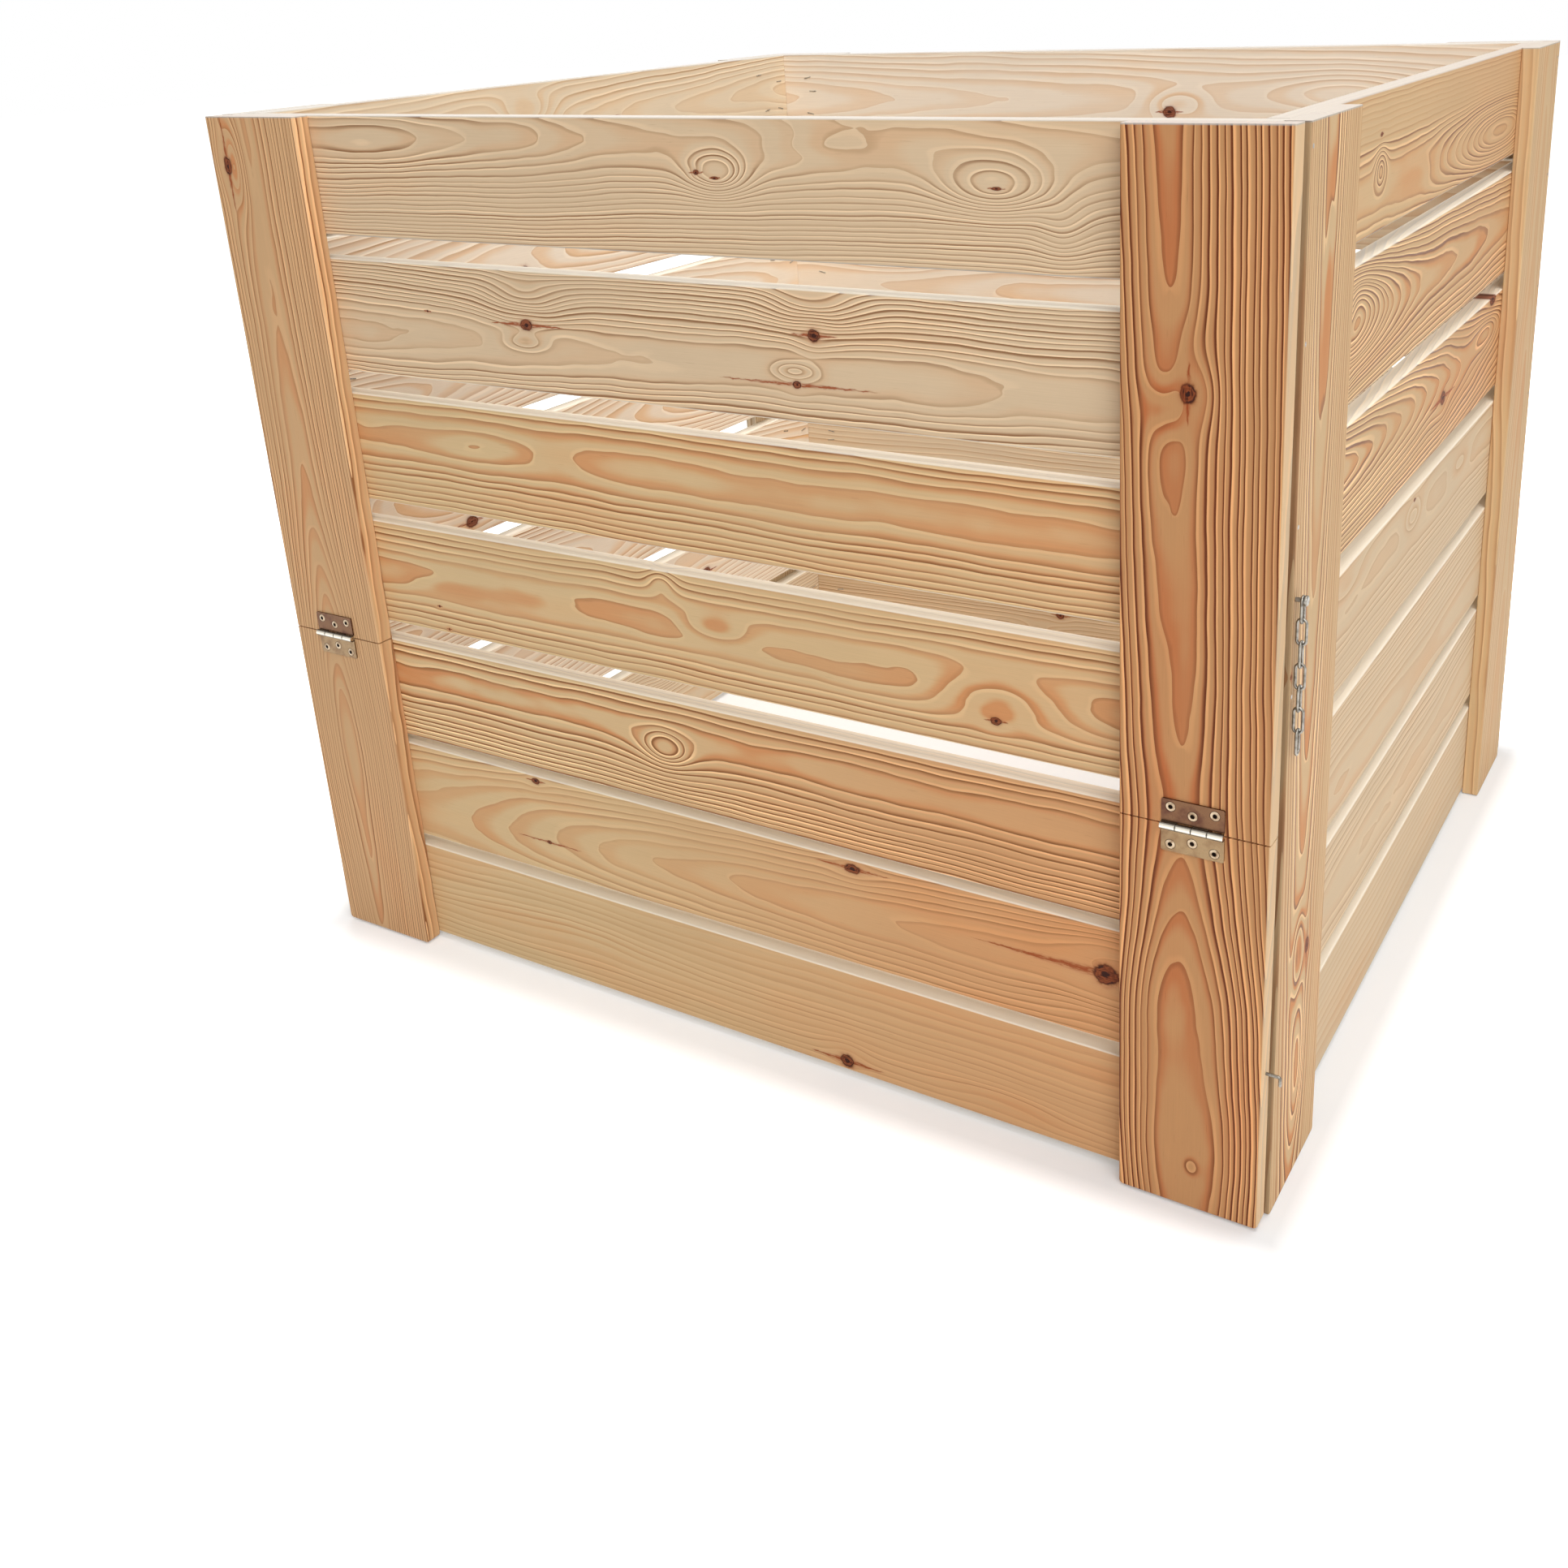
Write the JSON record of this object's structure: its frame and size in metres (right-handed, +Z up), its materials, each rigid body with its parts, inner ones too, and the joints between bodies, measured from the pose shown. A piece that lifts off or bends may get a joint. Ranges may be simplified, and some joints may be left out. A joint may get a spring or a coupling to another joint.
{
  "type": "slatted compost bin",
  "caption": "Square slatted timber compost bin, open at the top and bottom, whose lower front is a hinged flap that a short chain holds up for emptying.",
  "frame": {"origin": "middle of the bin on the ground, at the middle of the whole bin's width and depth", "axes": "+Z up; the flap and its hinges face -Y; +X is the chain side, on the right seen from the front"},
  "size_m": [1.06, 0.956, 0.868],
  "materials": {
    "pale_pine": "planed, unpainted",
    "warm_pine": "planed, unpainted",
    "red_pine": "planed, unpainted",
    "hinge_plating": "brassy plating on steel",
    "screw_steel": "yellow zinc plating",
    "staple_steel": "galvanised wire",
    "nail_steel": "bright wire",
    "chain_zinc": "bright zinc plating"
  },
  "bodies": {
    "bin": {"back_board_1": "pale_pine", "back_board_2": "pale_pine", "back_board_3": "pale_pine", "back_board_4": "pale_pine", "back_board_5": "pale_pine", "back_board_6": "pale_pine", "back_board_7": "pale_pine", "back_left_post": "pale_pine", "back_right_post": "pale_pine", "back_staples": "staple_steel", "chain_screw": "chain_zinc", "front_board_1": "warm_pine", "front_board_2": "warm_pine", "front_board_3": "warm_pine", "front_board_4": "warm_pine", "front_left_post": "warm_pine", "front_right_post": "red_pine", "front_staples": "staple_steel", "left_board_1": "pale_pine", "left_board_2": "pale_pine", "left_board_3": "pale_pine", "left_board_4": "pale_pine", "left_board_5": "pale_pine", "left_board_6": "pale_pine", "left_board_7": "pale_pine", "left_corner_nails": "nail_steel", "left_front_post": "pale_pine", "left_hinge_pin": "hinge_plating", "left_hinge_upper_leaf": "hinge_plating", "left_rear_post": "pale_pine", "left_staples": "staple_steel", "right_board_1": "pale_pine", "right_board_2": "pale_pine", "right_board_3": "pale_pine", "right_board_4": "pale_pine", "right_board_5": "pale_pine", "right_board_6": "pale_pine", "right_board_7": "pale_pine", "right_corner_nails": "nail_steel", "right_front_post": "pale_pine", "right_hinge_pin": "hinge_plating", "right_hinge_upper_leaf": "hinge_plating", "right_rear_post": "pale_pine", "right_staples": "staple_steel", "upper_hinge_screws": "screw_steel"},
    "flap": {"flap_board_1": "warm_pine", "flap_board_2": "warm_pine", "flap_board_3": "warm_pine", "flap_hook": "chain_zinc", "flap_left_post": "warm_pine", "flap_right_post": "red_pine", "flap_staples": "staple_steel", "left_hinge_lower_leaf": "hinge_plating", "lower_hinge_screws": "screw_steel", "right_hinge_lower_leaf": "hinge_plating"},
    "chain": {"chain_links": "chain_zinc"}
  },
  "joints": [
    {"name": "flap_hinge", "type": "hinge", "parent": "bin", "child": "flap", "pos_m": [0, -0.475, 0.3531], "axis": [-1, 0, 0], "range_deg": [0, 158]},
    {"name": "chain_swing", "type": "hinge", "parent": "bin", "child": "chain", "pos_m": [0.5255, -0.445, 0.53912], "axis": [-1, 0, 0], "range_deg": [-90, 90]}
  ]
}
